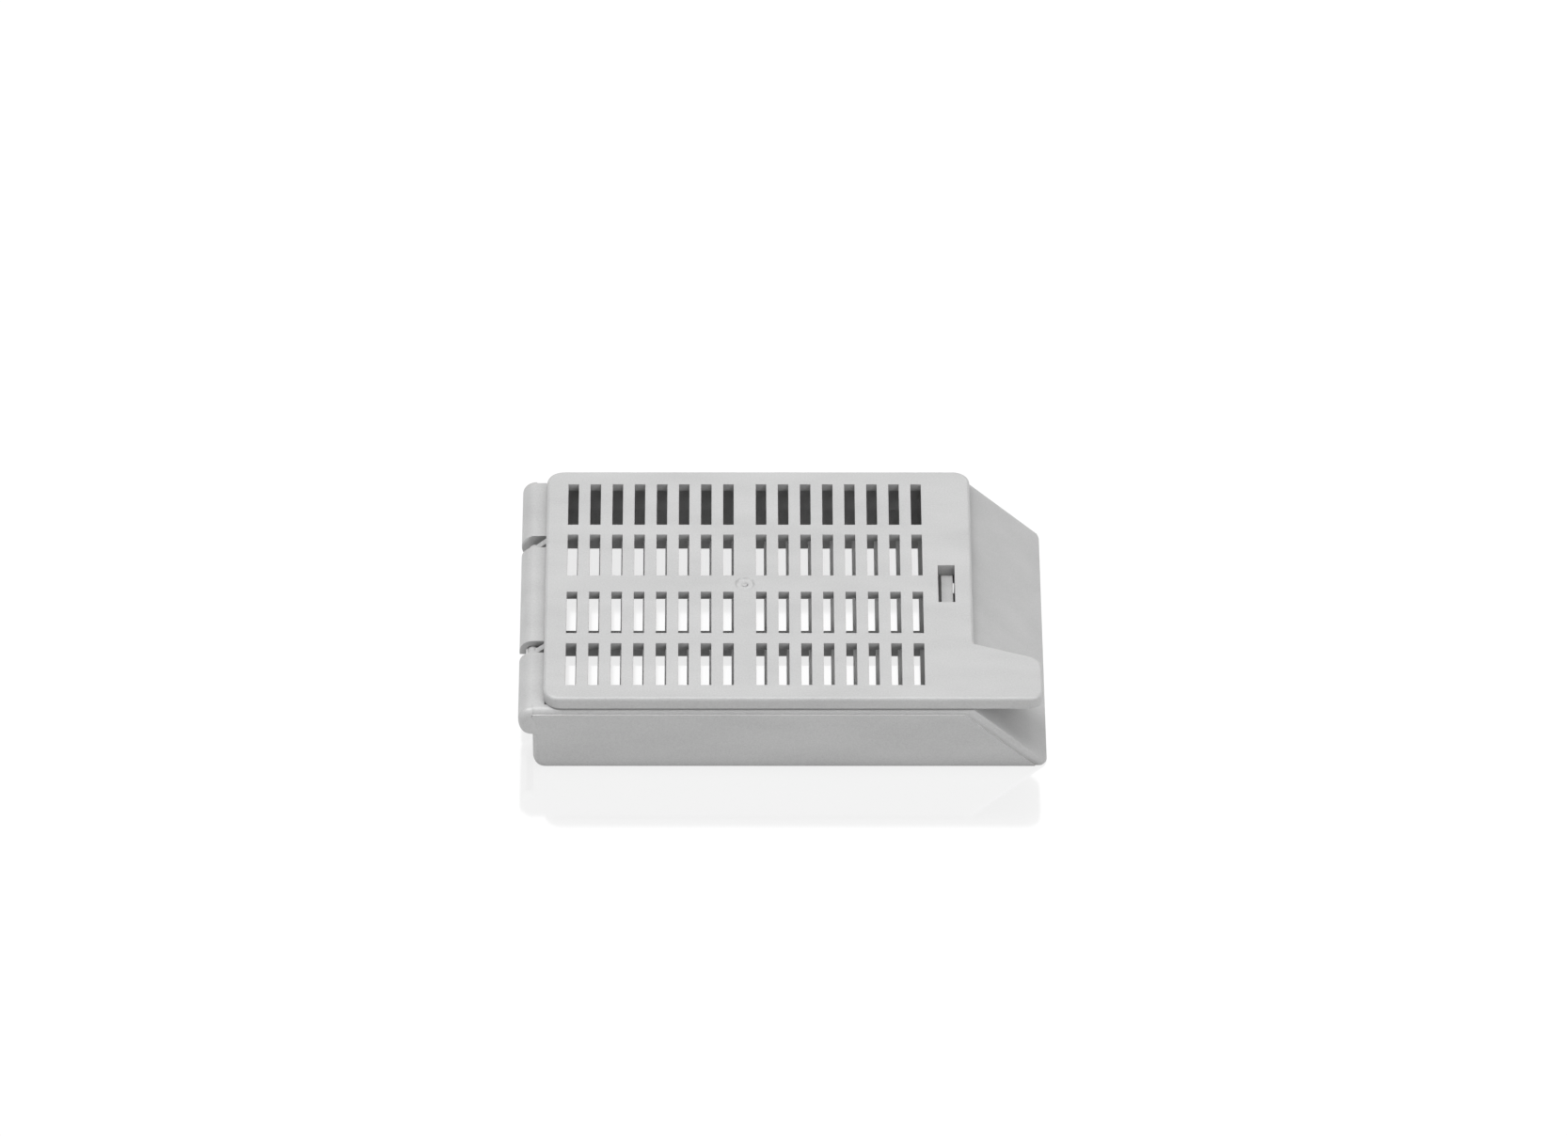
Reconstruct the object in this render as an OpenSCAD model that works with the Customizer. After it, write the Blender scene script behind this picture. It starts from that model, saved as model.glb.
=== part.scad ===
// Tissue processing cassette: a perforated tray with a writing slope, and a hinged, perforated lid.
// Millimetres. The tray stands on z = 0. +X points from the hinge to the writing slope.

/* [Tray] */
// Overall length, from the hinge hood to the toe of the slope
tray_l = 41; // [38:0.5:52]
// Overall width
tray_w = 28.5; // [23.5:0.5:36]
// Height of the rim
rim_z = 5.55; // [4.6:0.05:8]
// Thickness of the long walls
wall_t = 0.97; // [0.8:0.01:1.3]
// Thickness of the floor
floor_t = 0.95; // [0.7:0.05:1.4]
// Thickness of the chamber's end walls
end_wall_t = 0.9; // [0.75:0.05:1.2]
// Rounding along the top of the long walls and round the ends of the hood
rim_round = 0.6; // [0.5:0.05:0.8]
// How far the parting step stands proud of the rounded edge above it
step_w = 0.1; // [0.04:0.01:0.12]
// Depth of the parting step below the rim
step_drop = 0.42; // [0.3:0.02:0.5]
// Rounding of the heel, where the floor turns up under the hinge
heel_round = 1; // [0.3:0.1:1.5]
// Rounding of the heel's upright edges
heel_side_round = 0.5; // [0.3:0.05:0.7]

/* [Writing slope] */
// Angle of the slope to the bench
slope_angle = 43; // [35:1:55]
// Thickness of the slope's shell
slope_t = 1; // [0.8:0.05:1.3]
// Rounding along the two sides of the slope
slope_round = 0.6; // [0.4:0.05:0.7]
// How far the slope's face cuts into that rounding, which leaves a crisp edge
slope_crest = 0.1; // [0.05:0.01:0.15]
// Distance of the parting step from the slope's face
slope_step = 0.7; // [0.5:0.05:0.9]
// Height of the blunt toe
toe_h = 0.1; // [0.05:0.05:0.5]
// Rounding of the toe's two corners, seen from above
toe_round = 0.9; // [0.5:0.1:1.2]
// Flat of the rim between the latch wall and the slope
latch_land = 1.29; // [1.2:0.01:1.8]

/* [Hinge] */
// Outer radius of the hood over the hinge pin
hood_r = 1.05; // [1.02:0.01:1.2]
// Radius of the hinge pin
pin_r = 0.46; // [0.4:0.01:0.5]
// Running clearance round the pin
pin_gap = 0.07; // [0.03:0.01:0.1]
// How far the hood's outer wall hangs below the pin's axis
hood_drop = 0.3; // [0.1:0.05:0.6]
// From the hood's outer face to the tray's heel
heel_inset = 1.12; // [0.8:0.02:1.6]
// How far the cheeks at the hood's ends reach below the pin's axis
cheek_drop = 1.24; // [1:0.02:1.5]
// Rounding of the cheeks
cheek_round = 1.1; // [0.5:0.05:1.2]
// From the hood's outer face to the chamber's end wall
pocket_l = 2.25; // [2.2:0.05:2.8]
// Distance of each arm gap from the middle of the hood
arm_at = 6.45; // [4:0.05:8]
// Width of the gaps in the hood
arm_gap_w = 1.4; // [1.2:0.05:2]
// Width of the lid's arms
arm_w = 0.62; // [0.5:0.02:0.9]
// Thickness of the lid's arms
arm_t = 0.58; // [0.5:0.02:0.7]
// Angle of the arms below the lid
arm_angle = 40; // [35:1:45]
// Width of each saddle that carries the pin
saddle_w = 1.2; // [0.8:0.1:2]
// Distance of each saddle from the middle of the hood
saddle_at = 3; // [2:0.1:4]
// Thickness of the webs that close the hood's outer parts, beside the gaps
web_t = 0.5; // [0.4:0.05:0.8]
// Height of the ledge below the pin
ledge_z = 2.8; // [2.2:0.1:3]
// Thickness of that ledge, and of the wall under it
ledge_t = 0.6; // [0.4:0.05:0.8]
// Length of the relief at each end of the pocket, under the lid's corner
relief_l = 0.2; // [0.1:0.05:0.3]
// Width of that relief
relief_w = 0.45; // [0.3:0.05:0.6]
// How far that relief is let into the long wall
relief_in = 0.12; // [0.05:0.01:0.2]

/* [Slots] */
// Width of a slot
slot_w = 0.83; // [0.6:0.01:1.1]
// Spacing of the slots
slot_pitch = 1.747; // [1.6:0.001:2.2]
// Extra land down the middle of the slot field
mid_land = 0.827; // [0.5:0.001:1.2]
// Land between the two outer rows
row_land = 1.22; // [0.8:0.02:1.6]
// Land between the two middle rows
centre_land = 2; // [1.4:0.05:2.6]
// From the long walls to the ends of the outer slots
slot_margin = 0.96; // [0.8:0.02:1.5]
// From the hinge end wall to the first floor slot
field_inset = 0.32; // [0.2:0.02:0.8]
// How far the lid's slots lie ahead of the floor's slots
slot_shift = 0.17; // [0:0.01:0.25]

/* [Lid] */
// Thickness of the lid
lid_t = 1; // [0.9:0.05:1.3]
// Thickness of the lid where it is perforated
field_t = 0.67; // [0.5:0.01:0.8]
// Seam between the lid and the rim
seam = 0.05; // [0.03:0.01:0.1]
// How far the lid's long edges stand in from the tray's walls
lid_inset = 0.27; // [0.2:0.01:0.5]
// From the pin's axis to the lid's hinge edge
lid_start = 0.9; // [0.9:0.01:1.1]
// How far the lid reaches past the top of the slope
lid_lap = 0.2; // [0.05:0.05:0.5]
// Corner radius of the lid
lid_corner = 1.3; // [0.5:0.1:2]
// Rounding of the lid's top arris
lid_arris = 0.26; // [0.2:0.02:0.4]
// Thickness of the locating ribs under the lid
rib_t = 0.55; // [0.4:0.05:0.8]
// Depth of the locating ribs under the lid
rib_h = 1.85; // [1:0.05:2.5]
// Clearance between the ribs and the tray's walls
rib_gap = 0.13; // [0.08:0.01:0.3]
// Clearance between the ribs and the chamber's end walls
rib_end_gap = 0.3; // [0.2:0.05:0.5]
// Diameter of the gate mark
gate_d = 1.55; // [1:0.05:2]
// Depth of the gate mark
gate_h = 0.14; // [0.05:0.01:0.25]
// Diameter of the sprue's stub in the gate mark
stub_d = 0.52; // [0.4:0.02:0.6]

/* [Finger tab] */
// How far the tab reaches past the lid
tab_l = 5.28; // [3:0.01:5.4]
// Width of the tab where it leaves the lid
tab_w = 6.8; // [5:0.02:9]
// Angle at which the tab's inner side tapers
tab_taper = 19.8; // [10:0.2:25]
// Radius of the tab's inner corner
tab_inner_r = 1.6; // [0.8:0.1:2]
// Radius of the tab's outer corner
tab_outer_r = 1.1; // [0.8:0.1:1.5]
// Radius where the tab leaves the lid
tab_root_r = 0.3; // [0.1:0.05:0.6]

/* [Latch] */
// Length of the window over the catch
window_l = 1.32; // [1:0.02:1.4]
// Width of the window over the catch
window_w = 4.52; // [4:0.02:5]
// Clearance between the latch blade and the latch wall
latch_gap = 0.14; // [0.08:0.01:0.2]
// Thickness of the latch blade
blade_t = 0.65; // [0.5:0.05:0.8]
// Width of the latch blade
blade_w = 4.4; // [3.6:0.1:4.8]
// Width of the barb on the blade
barb_w = 3.2; // [2:0.1:3.6]
// How far the barb reaches out from the blade
barb_reach = 0.4; // [0.3:0.05:0.45]
// Height of the barb
barb_h = 0.9; // [0.6:0.05:1.2]
// Depth of the catch below the rim
catch_drop = 1.2; // [1:0.05:1.6]
// How deep the catch is let into the latch wall
catch_in = 0.35; // [0.3:0.01:0.4]
// Clearance between the barb and its catch
catch_gap = 0.05; // [0.03:0.01:0.1]
// Clearance round the blade, across the tray
blade_side_gap = 0.3; // [0.2:0.05:0.5]
// Clearance between the blade and the slope
blade_back_gap = 0.25; // [0.15:0.05:0.4]

/* [Hidden] */
$fn = 96;
cut = 0.5;         // how far cutters run past the faces they open
lap = 0.02;        // how far straight cutters run on into a corner
lap_turn = 1;      // how far round cutters run on past an inner corner, in degrees
cheek_flat = 0.02; // least flat under a cheek
arm_clear = 0.1;   // between the arms and the chamber's end wall

half_w = tray_w / 2;
hinge_x = -tray_l / 2;
toe_x = tray_l / 2;

// Hinge
axis_x = hinge_x + hood_r;
axis_z = rim_z - hood_r;
seat_r = pin_r + pin_gap;
heel_x = hinge_x + heel_inset;
cheek_z = axis_z - cheek_drop;
arm_far = arm_at + arm_w / 2;

// Slope
slope_x = toe_x - (rim_z - toe_h) / tan(slope_angle);
slope_len = (rim_z - toe_h) / sin(slope_angle);

// Chamber
chamber_x0 = hinge_x + pocket_l + end_wall_t;
latch_face_x = slope_x - latch_land;
chamber_x1 = latch_face_x - end_wall_t;
chamber_l = chamber_x1 - chamber_x0;
chamber_w = tray_w - 2 * wall_t;

// Slots
slot_l = (chamber_w - 2 * slot_margin - 2 * row_land - centre_land) / 4;
half_cols = floor(chamber_l / 2 / slot_pitch);
field_l = (2 * half_cols - 1) * slot_pitch + mid_land + slot_w;
field_x = chamber_x0 + field_inset;
row_y = [for (side = [-1, 1], n = [0, 1])
    side * ((centre_land + slot_l) / 2 + n * (slot_l + row_land))];

// Lid
lid_z = rim_z + seam;
lid_top = lid_z + lid_t;
lid_x0 = axis_x + lid_start;
lid_x1 = slope_x + lid_lap;
lid_y = half_w - lid_inset;
tab_x = lid_x1 + tab_l;
tab_y = tab_w - lid_y;
rib_y = chamber_w / 2 - rib_gap;
rib_x0 = chamber_x0 + rib_end_gap;
rib_x1 = chamber_x1 - rib_end_gap;
blade_x = latch_face_x + latch_gap;
catch_z = rim_z - catch_drop;
gate_x = field_x + slot_shift + field_l / 2;

// Lid outline, counter-clockwise: [x, y, corner radius]
lid_path = [
    [lid_x0, -lid_y, lid_corner],
    [tab_x, -lid_y, tab_outer_r],
    [tab_x, tab_y - tab_l * tan(tab_taper), tab_inner_r],
    [lid_x1, tab_y, tab_root_r],
    [lid_x1, lid_y, lid_corner],
    [lid_x0, lid_y, lid_corner],
];

// Tray outline from the side, counter-clockwise: [x, z, corner radius]
side_path = [
    [toe_x, 0, 0],
    [toe_x, toe_h, 0],
    [slope_x, rim_z, 0],
    [hinge_x, rim_z, hood_r],
    [hinge_x, cheek_z, min(cheek_round, heel_inset - cheek_flat)],
    [heel_x, cheek_z, 0],
    [heel_x, 0, heel_round],
];
hood_corner = 3;   // the one in side_path that is the hood's

// ---- Rounded outlines ----
// Each corner is worked out from its two neighbours: where the arc starts and ends, and its centre.

function unit(v) = v / norm(v);
function left_of(v) = [-v[1], v[0]];
function point(path, i) = [for (k = [0, 1]) path[(i + len(path)) % len(path)][k]];
function heading(path, i) = unit(point(path, i + 1) - point(path, i));
function turn(path, i) =
    let (a = heading(path, i - 1), b = heading(path, i))
    atan2(a[0] * b[1] - a[1] * b[0], a * b);
function tangent_l(path, i) = path[i][2] * tan(abs(turn(path, i)) / 2);
function arc_start(path, i) = point(path, i) - heading(path, i - 1) * tangent_l(path, i);
function arc_end(path, i) = point(path, i) + heading(path, i) * tangent_l(path, i);
function arc_centre(path, i) =
    arc_start(path, i) + left_of(heading(path, i - 1)) * path[i][2] * sign(turn(path, i));

// The bit between a sharp corner and its arc. It reaches past the corner, clear of the outline's own edges.
module corner_bit(path, i) {
    beyond = point(path, i) + unit(point(path, i) - arc_centre(path, i)) * path[i][2] / 2;
    difference() {
        polygon([arc_start(path, i), beyond, arc_end(path, i)]);
        translate(arc_centre(path, i)) circle(r = path[i][2]);
    }
}

module outline(path) {
    difference() {
        polygon([for (i = [0 : len(path) - 1]) point(path, i)]);
        for (i = [0 : len(path) - 1])
            if (path[i][2] > 0 && turn(path, i) > 0) corner_bit(path, i);
    }
    for (i = [0 : len(path) - 1])
        if (path[i][2] > 0 && turn(path, i) < 0) corner_bit(path, i);
}

// What a rounded edge takes off. The edge is at the origin, below the top face,
// and the open side lies at +x for out = 1, at -x for out = -1.
module edge_bit(r, out = 1) {
    difference() {
        translate([out > 0 ? -r : -cut, -r]) square(r + cut);
        translate([-out * r, -r]) circle(r = r);
    }
}

// The same down to a parting step. The rounding's circle stands proud of the top face by crest.
module step_bit(r, drop, crest = 0) {
    difference() {
        translate([-r, -drop]) square([r + cut, drop + cut]);
        translate([-r, crest - r]) circle(r = r);
        translate([-r - cut, -drop - 2 * cut]) square([r + cut, drop + 2 * cut + crest - r]);
    }
}

// Rounds a straight arris between two points, with the top face at z = 0 and the open side on the right
module arris_run(from, to, r) {
    run = to - from;
    translate(to) rotate([0, 0, atan2(run[1], run[0])])
        rotate([90, 0, -90]) linear_extrude(norm(run)) edge_bit(r);
}

// Rounds the arris round one corner of an outline
module arris_arc(path, i, r) {
    out = sign(turn(path, i));
    past = out > 0 ? 0 : lap_turn;
    radial = arc_start(path, i) - arc_centre(path, i);
    sweep_from = atan2(radial[1], radial[0]) + min(0, turn(path, i)) - past;
    translate(arc_centre(path, i)) rotate([0, 0, sweep_from])
        rotate_extrude(angle = abs(turn(path, i)) + 2 * past) intersection() {
            translate([path[i][2], 0]) edge_bit(r, out);
            translate([0, -2 * r]) square(path[i][2] + 2 * r + cut);
        }
}

// Rounds the arris all round an outline. At each corner one cutter runs on a little, on its open side.
module arris_cut(path, r) {
    for (i = [0 : len(path) - 1]) {
        next = (i + 1) % len(path);
        arris_run(arc_end(path, i) - heading(path, i) * (turn(path, i) > 0 ? lap : 0),
            arc_start(path, next) + heading(path, i) * (turn(path, next) > 0 ? lap : 0), r);
        arris_arc(path, i, r);
    }
}

// Extrudes a side view, drawn in x and z, across the tray between two values of y
module across(y0, y1) {
    translate([0, y1, 0]) rotate([90, 0, 0]) linear_extrude(y1 - y0) children();
}

module both_sides() {
    children();
    mirror([0, 1, 0]) children();
}

// ---- Slot field ----

module slot_field(x, z0, z1) {
    for (col = [0 : 2 * half_cols - 1], y = row_y)
        translate([x + col * slot_pitch + (col < half_cols ? 0 : mid_land), y - slot_l / 2, z0])
            cube([slot_w, slot_l, z1 - z0]);
}

// ---- Base ----

// Rounds the tops of the long walls, down to the parting step
module rim_edge_cut() {
    face_y = half_w - step_w;
    translate([heel_x, face_y, rim_z]) rotate([90, 0, 90])
        linear_extrude(toe_x - heel_x) step_bit(rim_round, step_drop);
    // along the slope
    translate([slope_x, face_y, rim_z]) rotate([0, slope_angle, 0]) rotate([90, 0, 90])
        translate([0, 0, -slope_len]) linear_extrude(3 * slope_len)
            step_bit(slope_round, slope_step, slope_crest);
}

// Rounds the toe's corner
module toe_side_cut() {
    translate([toe_x, -half_w, -cut]) rotate([0, 0, -90])
        linear_extrude(rim_z) edge_bit(toe_round);
}

// Rounds one end of the hood, where there is no step. The rounding runs out down the cheek.
module hood_end_cut() {
    translate([0, -half_w, 0]) rotate([90, 0, 0]) {
        arris_run([heel_x, rim_z], arc_start(side_path, hood_corner) - [lap, 0], rim_round);
        arris_arc(side_path, hood_corner, rim_round);
        arris_run(arc_end(side_path, hood_corner) + [0, lap], [hinge_x, -cut], rim_round);
    }
}

// Rounds the heel's upright edge, below the cheek
module heel_side_cut() {
    top_x = heel_x + heel_side_round + cut;
    intersection() {
        translate([heel_x, -half_w, -cut]) rotate([0, 0, 180])
            linear_extrude(rim_z) edge_bit(heel_side_round);
        across(-tray_w, 0) polygon([
            [heel_x - cut, -tray_w],
            [top_x, -tray_w],
            [top_x, cheek_z - heel_side_round / 2],
            [heel_x, cheek_z],
            [heel_x - cut, cheek_z],
        ]);
    }
}

// Side view of the space under the hood. The ledge below the pin stays, cored out from below.
module pocket_profile() {
    end_x = hinge_x + pocket_l;
    translate([hinge_x - cut, -cut]) square([heel_x - hinge_x + cut, axis_z - hood_drop + cut]);
    translate([hinge_x - cut, ledge_z]) square([pocket_l + cut, axis_z - hood_drop - ledge_z]);
    translate([heel_x + ledge_t, -cut])
        square([end_x - heel_x - ledge_t, ledge_z - ledge_t + cut]);
    translate([axis_x - seat_r, ledge_z]) square([end_x - axis_x + seat_r, axis_z - ledge_z]);
    translate([axis_x, ledge_z]) square([end_x - axis_x, axis_z + seat_r - ledge_z]);
    translate([axis_x, axis_z]) circle(r = seat_r);
}

// The space under the hood, between the cheeks, and the gaps for the arms
module hinge_pocket() {
    end_x = hinge_x + pocket_l;
    web_y = arm_at + arm_gap_w / 2 + web_t;
    across(-arm_at, arm_at) pocket_profile();
    both_sides() {
        across(web_y, half_w - wall_t) pocket_profile();
        across(arm_at - arm_gap_w / 2, arm_at + arm_gap_w / 2) {
            translate([hinge_x - cut, -cut]) square([heel_x - hinge_x + cut, rim_z + 2 * cut]);
            translate([hinge_x - cut, ledge_z]) square([pocket_l + cut, rim_z - ledge_z + cut]);
        }
        translate([end_x - relief_l, wall_t - relief_in - half_w, axis_z])
            cube([relief_l, relief_w, rim_z - axis_z + cut]);
    }
}

// Seats that hold the pin up against the hood
module saddle() {
    roof_t = hood_r - seat_r;
    across(-saddle_w / 2, saddle_w / 2) difference() {
        translate([axis_x, cheek_z])
            square([pocket_l - hood_r + end_wall_t / 2, rim_z - roof_t / 2 - cheek_z]);
        translate([axis_x, axis_z]) circle(r = seat_r);
    }
}

// The hollow under the slope, open below
module slope_hollow() {
    skin = slope_t / sin(slope_angle);
    roof_z = rim_z - slope_t;
    across(wall_t - half_w, half_w - wall_t) polygon([
        [latch_face_x, -cut],
        [toe_x + (toe_h + cut) / tan(slope_angle) - skin, -cut],
        [slope_x + slope_t / tan(slope_angle) - skin, roof_z],
        [latch_face_x, roof_z],
    ]);
}

// The opening for the latch blade, and the catch that its barb hooks under
module latch_cut() {
    hole_w = blade_w + 2 * blade_side_gap;
    translate([latch_face_x, -hole_w / 2, rim_z - slope_t - cut])
        cube([latch_gap + blade_t + blade_back_gap, hole_w, slope_t + 2 * cut]);
    translate([latch_face_x - catch_in, -hole_w / 2, floor_t])
        cube([catch_in + cut, hole_w, catch_z - floor_t]);
}

module base() {
    color([0.8, 0.8, 0.8]) {
        difference() {
            across(-half_w, half_w) outline(side_path);
            both_sides() {
                rim_edge_cut();
                hood_end_cut();
                heel_side_cut();
                toe_side_cut();
            }
            translate([chamber_x0, -chamber_w / 2, floor_t]) cube([chamber_l, chamber_w, rim_z]);
            slot_field(field_x, -cut, floor_t + cut);
            hinge_pocket();
            slope_hollow();
            latch_cut();
        }
        both_sides() translate([0, saddle_at, 0]) saddle();
    }
}

// ---- Lid ----

module lid_plate() {
    difference() {
        translate([0, 0, lid_z]) linear_extrude(lid_t) outline(lid_path);
        translate([0, 0, lid_top]) arris_cut(lid_path, lid_arris);
        slot_field(field_x + slot_shift, lid_z - cut, lid_top + cut);
        // thin field between the ribs
        translate([rib_x0, rib_t - rib_y, lid_z - cut])
            cube([field_x + slot_shift + field_l + slot_margin / 2 - rib_x0,
                2 * (rib_y - rib_t), cut + lid_t - field_t]);
        translate([blade_x - window_l, -window_w / 2, lid_z - cut])
            cube([window_l, window_w, lid_t + 2 * cut]);
        gate_mark();
    }
}

// A shallow dish with the stub of the sprue in it
module gate_mark() {
    translate([gate_x, 0, lid_top]) difference() {
        translate([0, 0, -gate_h])
            cylinder(h = gate_h + cut, r1 = gate_d / 2 - gate_h, r2 = gate_d / 2 + cut);
        translate([0, 0, -gate_h - cut]) cylinder(h = cut + gate_h / 2, d = stub_d);
    }
}

// Locates the lid between the long walls
module locating_rib() {
    translate([rib_x0, rib_y - rib_t, lid_z - rib_h])
        cube([rib_x1 - rib_x0, rib_t, rib_h + field_t / 2]);
}

// Runs down from the lid's hinge edge to the pin
module hinge_arm() {
    reach = pocket_l - hood_r - arm_clear;
    rise = arm_t / 2 / cos(arm_angle);
    across(-arm_w / 2, arm_w / 2) translate([axis_x, axis_z]) polygon([
        [0, -rise],
        [reach, reach * tan(arm_angle) - rise],
        [reach, lid_z - axis_z + field_t / 2],
        [lid_start, lid_z - axis_z + field_t / 2],
        [lid_start, lid_start * tan(arm_angle) + rise],
        [0, rise],
    ]);
}

module hinge_pin() {
    translate([axis_x, -arm_far, axis_z]) rotate([-90, 0, 0]) cylinder(h = 2 * arm_far, r = pin_r);
}

// The blade passes through the tray's rim, and its barb hooks under the catch
module latch() {
    barb_z = catch_z - catch_gap;
    across(-blade_w / 2, blade_w / 2)
        translate([blade_x, barb_z - barb_h]) square([blade_t, lid_z - barb_z + barb_h + lid_t / 2]);
    across(-barb_w / 2, barb_w / 2) polygon([
        [blade_x + blade_t / 2, barb_z],
        [blade_x - barb_reach, barb_z],
        [blade_x - barb_reach, barb_z - barb_h / 4],
        [blade_x, barb_z - barb_h],
        [blade_x + blade_t / 2, barb_z - barb_h],
    ]);
}

module lid() {
    color([0.83, 0.83, 0.83]) {
        lid_plate();
        both_sides() locating_rib();
        both_sides() translate([0, arm_at, 0]) hinge_arm();
        hinge_pin();
        latch();
    }
}

base();
lid();
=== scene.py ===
import math

import bpy
from mathutils import Matrix, Vector

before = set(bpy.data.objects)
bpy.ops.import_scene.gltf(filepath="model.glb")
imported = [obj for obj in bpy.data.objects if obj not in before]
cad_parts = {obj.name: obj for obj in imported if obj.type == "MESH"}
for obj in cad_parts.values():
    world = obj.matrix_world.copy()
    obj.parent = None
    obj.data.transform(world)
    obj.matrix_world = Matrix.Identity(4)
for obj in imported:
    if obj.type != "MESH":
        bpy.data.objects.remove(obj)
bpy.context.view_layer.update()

# Tissue cassette: a moulded tray and its hinged lid. Both pieces are the frame's own solids;
# this script softens their edges and gives them their plastic, the table, the light and the camera.

mm = 0.001    # in metres, the unit of the scene


def hexToLinear(code):
    # the usual sRGB curve, straight near black
    channels = [int(code[i:i + 2], 16) / 255 for i in (1, 3, 5)]
    linear = [c / 12.92 if c <= 0.04045 else ((c + 0.055) / 1.055) ** 2.4 for c in channels]
    return (*linear, 1.0)


def addNode(tree, kind, settings=None, inputs=None):
    # inputs holds plain values, or the output socket of another node to link from; an input that
    # shares its name with another, as on Mix and Vector Math nodes, goes by its number
    node = tree.nodes.new(kind)
    for name, value in (settings or {}).items():
        setattr(node, name, value)
    for name, value in (inputs or {}).items():
        socket = node.inputs[name]
        if isinstance(value, bpy.types.NodeSocket):
            tree.links.new(value, socket)
        else:
            socket.default_value = value
    return node


def newMaterial(name):
    material = bpy.data.materials.new(name)
    material.use_nodes = True
    material.node_tree.nodes.clear()
    return material, material.node_tree


camera = {
    "aim": (0.13, 0.738, 7.56),    # mm, the point that it looks at
    "distance": 836.46,            # mm
    "elevation": 39.5,             # degrees above the table
    "azimuth": 0.427,              # degrees round from square on, towards -X
    "roll": 0.282,                 # degrees
    "lens": 245.45,                # mm
    "sensor": 36,                  # mm wide
    "sees": (0.01, 20),            # m, the nearest and the furthest
}


def placeCamera(values):
    elevation = math.radians(values["elevation"])
    azimuth = math.radians(values["azimuth"])
    roll = math.radians(values["roll"])
    forward = Vector((math.sin(azimuth) * math.cos(elevation),
                      math.cos(azimuth) * math.cos(elevation), -math.sin(elevation)))
    level = Vector((math.cos(azimuth), -math.sin(azimuth), 0))
    upright = level.cross(forward)
    right = level * math.cos(roll) + upright * math.sin(roll)
    up = right.cross(forward)
    place = (Vector(values["aim"]) - forward * values["distance"]) * mm
    data = bpy.data.cameras.new("studioCamera")
    data.lens = values["lens"]
    data.sensor_width = values["sensor"]
    data.clip_start, data.clip_end = values["sees"]
    body = bpy.data.objects.new("studioCamera", data)
    turn = Matrix((right, up, -forward)).transposed().to_4x4()
    body.matrix_world = Matrix.Translation(place) @ turn
    bpy.context.scene.collection.objects.link(body)
    bpy.context.scene.camera = body


placeCamera(camera)
print("camera placed")

# A moulded edge is never knife sharp: the steel leaves a hundredth or two of a millimetre.
softEdges = {
    "weld": 0.02,          # mm, joins the loose triangles at their corners
    "width": 0.015,        # mm, of the bevel
    "steps": 2,
    "sharperThan": 32,     # degrees, so that round stretches stay as they are
}


def soften(node, values):
    weld = node.modifiers.new("closeFaces", "WELD")
    weld.merge_threshold = values["weld"] * mm
    edge = node.modifiers.new("mouldedEdges", "BEVEL")
    edge.offset_type = "ABSOLUTE"
    edge.width = values["width"] * mm
    edge.segments = values["steps"]
    edge.limit_method = "ANGLE"
    edge.angle_limit = math.radians(values["sharperThan"])
    edge.use_clamp_overlap = False
    # Flat faces keep their own shading, and only the bevel blends from one to the next
    edge.face_strength_mode = "FSTR_ALL"
    even = node.modifiers.new("evenShading", "WEIGHTED_NORMAL")
    even.mode = "FACE_AREA_WITH_ANGLE"
    even.keep_sharp = False
    even.use_face_influence = True


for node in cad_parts.values():
    soften(node, softEdges)
print("edges softened")

# Acetal (POM), injection moulded in a spark-eroded cavity: an opaque, waxy light grey with a broad
# soft sheen and a very fine even grain. The grain is really 0.03 mm and drawn at 0.12 mm to show.
acetal = {
    "grey": "#B4B4B4",
    "greyLow": "#888888",         # in the clouds and specks
    "ior": 1.48,
    "roughness": 0.36,
    "roughnessSpread": 0.08,
    "grainSize": 0.12,            # mm
    "grainDepth": 0.006,          # mm
    "grainDetail": 2.0,
    "grainRoughness": 0.6,
    "grainReach": (0.3, 0.7),     # the grain's values that get the least and the most roughness
    "grainShare": 0.6,            # of the colour's variation, the rest is flow
    "flowLength": 9,              # mm, of the cloudy flow marks
    "flowWidth": 3,               # mm
    "flowDetail": 3.0,
    "flowRoughness": 0.55,
    "flowShift": (17.3, 6.401, 0),    # from one piece to the next, in marks' lengths and widths
}


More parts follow.
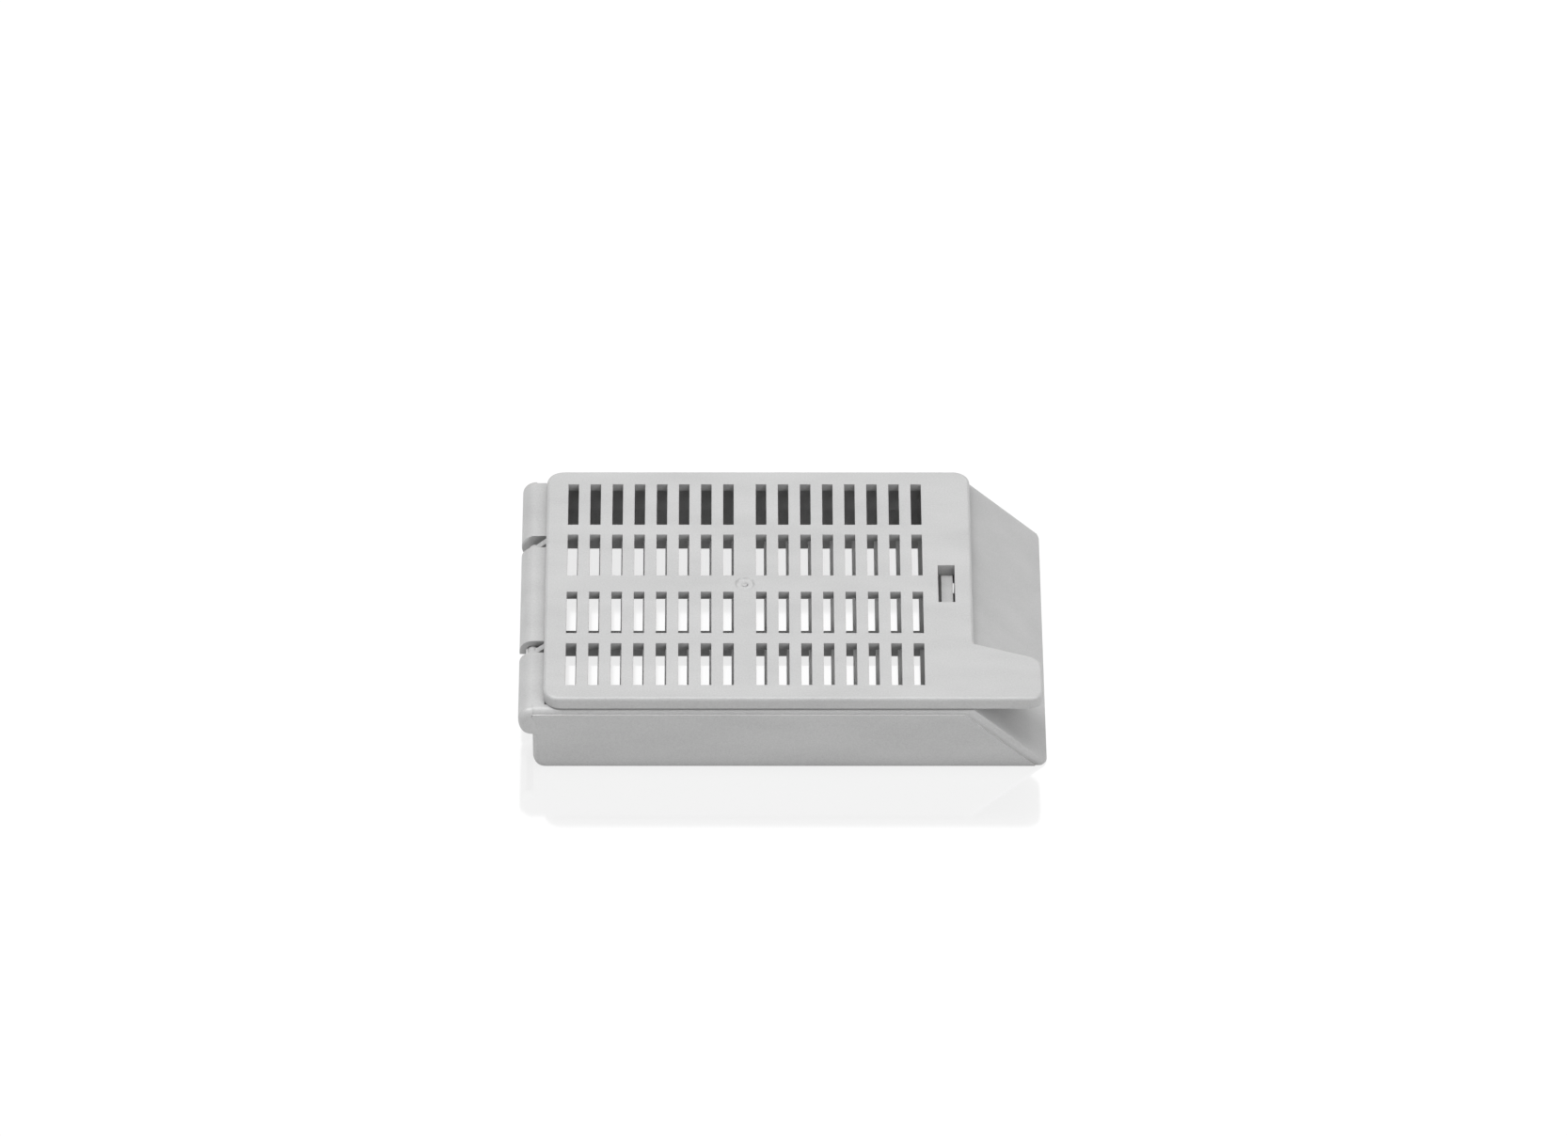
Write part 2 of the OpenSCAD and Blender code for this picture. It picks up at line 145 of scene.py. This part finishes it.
def mouldedAcetal(name, values, number):
    # number counts the pieces, so that no two have the same flow marks
    material, tree = newMaterial(name)
    place = addNode(tree, "ShaderNodeTexCoord").outputs["Object"]
    along, across = 1 / (values["flowLength"] * mm), 1 / (values["flowWidth"] * mm)
    flowPlace = addNode(tree, "ShaderNodeMapping", inputs={
        "Vector": place,
        "Location": Vector(values["flowShift"]) * number,
        "Scale": (along, across, across)}).outputs["Vector"]
    flow = addNode(tree, "ShaderNodeTexNoise", inputs={
        "Vector": flowPlace, "Scale": 1.0, "Detail": values["flowDetail"],
        "Roughness": values["flowRoughness"]}).outputs["Fac"]
    grain = addNode(tree, "ShaderNodeTexNoise", inputs={
        "Vector": place, "Scale": 1 / (values["grainSize"] * mm), "Detail": values["grainDetail"],
        "Roughness": values["grainRoughness"]}).outputs["Fac"]
    shade = addNode(tree, "ShaderNodeMix", {"data_type": "FLOAT"}, {
        0: values["grainShare"], 2: flow, 3: grain}).outputs[0]
    tone = addNode(tree, "ShaderNodeMix", {"data_type": "RGBA"}, {
        0: shade, 6: hexToLinear(values["greyLow"]), 7: hexToLinear(values["grey"])}).outputs[2]
    least, most = values["grainReach"]
    sheen = addNode(tree, "ShaderNodeMapRange", inputs={
        "Value": grain, "From Min": least, "From Max": most,
        "To Min": values["roughness"] - values["roughnessSpread"] / 2,
        "To Max": values["roughness"] + values["roughnessSpread"] / 2}).outputs["Result"]
    bump = addNode(tree, "ShaderNodeBump", inputs={
        "Height": grain, "Strength": 1.0, "Distance": values["grainDepth"] * mm}).outputs["Normal"]
    shader = addNode(tree, "ShaderNodeBsdfPrincipled", inputs={
        "Base Color": tone, "Roughness": sheen, "IOR": values["ior"], "Normal": bump})
    addNode(tree, "ShaderNodeOutputMaterial", inputs={"Surface": shader.outputs["BSDF"]})
    return material


for number, (name, node) in enumerate(sorted(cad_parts.items())):
    plastic = mouldedAcetal(name + "Acetal", acetal, number)
    for slot in node.material_slots:
        slot.material = plastic
print("plastic made")

# Soft boxes: turn is degrees round from the front towards +X, height is degrees above the table,
# away and size are in metres and power is in watts.
lights = {
    "topLight": {"turn": 0, "height": 88, "away": 1.0, "size": (0.7, 0.7), "power": 5.4},
    "sheenLight": {"turn": 180, "height": 39, "away": 1.6, "size": (0.8, 0.6), "power": 1.9},
    "leftLight": {"turn": -90, "height": 65, "away": 1.0, "size": (0.5, 0.6), "power": 7.9},
    "rightLight": {"turn": 90, "height": 65, "away": 1.0, "size": (0.5, 0.6), "power": 1.85},
    "lowRightLight": {"turn": 80, "height": 35, "away": 1.0, "size": (0.6, 0.6), "power": 0.65},
    "frontLight": {"turn": 42, "height": 42, "away": 1.0, "size": (0.5, 0.5), "power": 3.05},
}


def hangLight(name, values):
    turn, height = math.radians(values["turn"]), math.radians(values["height"])
    place = Vector((math.sin(turn) * math.cos(height), -math.cos(turn) * math.cos(height),
                    math.sin(height))) * values["away"]
    data = bpy.data.lights.new(name, "AREA")
    data.shape = "RECTANGLE"
    data.size, data.size_y = values["size"]
    data.energy = values["power"]
    body = bpy.data.objects.new(name, data)
    facing = (-place).to_track_quat("-Z", "Y").to_matrix().to_4x4()
    body.matrix_world = Matrix.Translation(place) @ facing
    bpy.context.scene.collection.objects.link(body)


# A white acrylic sheet lit from inside, so the cassette stands in white and mirrors faintly in it.
# Where the cassette stands, a painted shade turns down the glow that the sheet throws on it, so
# little light comes up through the slots.
# How bright it looks and what it throws on the cassette are set apart, as no real sheet has them.
table = {
    "size": 3,                     # m
    "below": 0.02,                 # mm, under the cassette's feet
    "white": "#303030",            # what it adds of the lamps' light to its own
    "glow": "#FFFFFF",
    "glowSeen": 0.8,               # to the eye, and in mirror images
    "glowOpen": 1.35,              # what reaches the cassette from round about
    "glowInPaintedShade": 0.16,             # what reaches it from below, inside the patch of painted shade
    "paintedShadeHalf": (20, 14.5),       # mm, half of the patch of painted shade
    "paintedShadeFade": 1,                # mm, on each side of its edge
    "ior": 2.0,                    # acrylic has 1.49, and more makes the mirror image show
    "roughness": 0.1,
}


def makeTable(values):
    half = values["size"] / 2
    z = -values["below"] * mm
    sheet = bpy.data.meshes.new("whiteTable")
    sheet.from_pydata([(-half, -half, z), (half, -half, z), (half, half, z), (-half, half, z)],
                      [], [(0, 1, 2, 3)])
    body = bpy.data.objects.new("whiteTable", sheet)
    bpy.context.scene.collection.objects.link(body)
    material, tree = newMaterial("whiteTable")
    place = addNode(tree, "ShaderNodeTexCoord").outputs["Object"]
    across = addNode(tree, "ShaderNodeVectorMath", {"operation": "ABSOLUTE"}, {0: place}).outputs[0]
    beyond = addNode(tree, "ShaderNodeVectorMath", {"operation": "SUBTRACT"}, {
        0: across, 1: Vector((*values["paintedShadeHalf"], 0)) * mm}).outputs[0]
    sides = addNode(tree, "ShaderNodeSeparateXYZ", inputs={0: beyond}).outputs
    out = addNode(tree, "ShaderNodeMath", {"operation": "MAXIMUM"}, {
        0: sides["X"], 1: sides["Y"]}).outputs[0]
    # Painted shade: the glow thrown on the cassette is turned down under its footprint and fades up
    # over the patch's edge
    cast = addNode(tree, "ShaderNodeMapRange", {"interpolation_type": "SMOOTHSTEP"}, {
        "Value": out, "From Min": -values["paintedShadeFade"] * mm, "From Max": values["paintedShadeFade"] * mm,
        "To Min": values["glowInPaintedShade"], "To Max": values["glowOpen"]}).outputs["Result"]
    ray = addNode(tree, "ShaderNodeLightPath").outputs["Is Diffuse Ray"]
    glow = addNode(tree, "ShaderNodeMix", {"data_type": "FLOAT"}, {
        0: ray, 2: values["glowSeen"], 3: cast})
    shader = addNode(tree, "ShaderNodeBsdfPrincipled", inputs={
        "Base Color": hexToLinear(values["white"]), "Roughness": values["roughness"],
        "IOR": values["ior"], "Emission Color": hexToLinear(values["glow"]),
        "Emission Strength": glow.outputs[0]})
    # From below the table is clear, so that the underside can be looked at
    clear = addNode(tree, "ShaderNodeBsdfTransparent")
    side = addNode(tree, "ShaderNodeNewGeometry").outputs["Backfacing"]
    both = addNode(tree, "ShaderNodeMixShader", inputs={
        0: side, 1: shader.outputs["BSDF"], 2: clear.outputs["BSDF"]})
    addNode(tree, "ShaderNodeOutputMaterial", inputs={"Surface": both.outputs["Shader"]})
    # Sampled as a lamp, the sheet would light the cassette with the glow that the eye sees
    material.cycles.emission_sampling = "NONE"
    sheet.materials.append(material)


# Faint light from all round, as in a white room
sky = {"white": "#FFFFFF", "strength": 0.18}


def makeSky(values):
    world = bpy.data.worlds.new("studio")
    world.use_nodes = True
    air = world.node_tree.nodes["Background"]
    air.inputs["Color"].default_value = hexToLinear(values["white"])
    air.inputs["Strength"].default_value = values["strength"]
    bpy.context.scene.world = world


makeTable(table)
makeSky(sky)
for name, values in lights.items():
    hangLight(name, values)
bpy.context.scene.view_settings.view_transform = "Standard"
print("table and lights set")
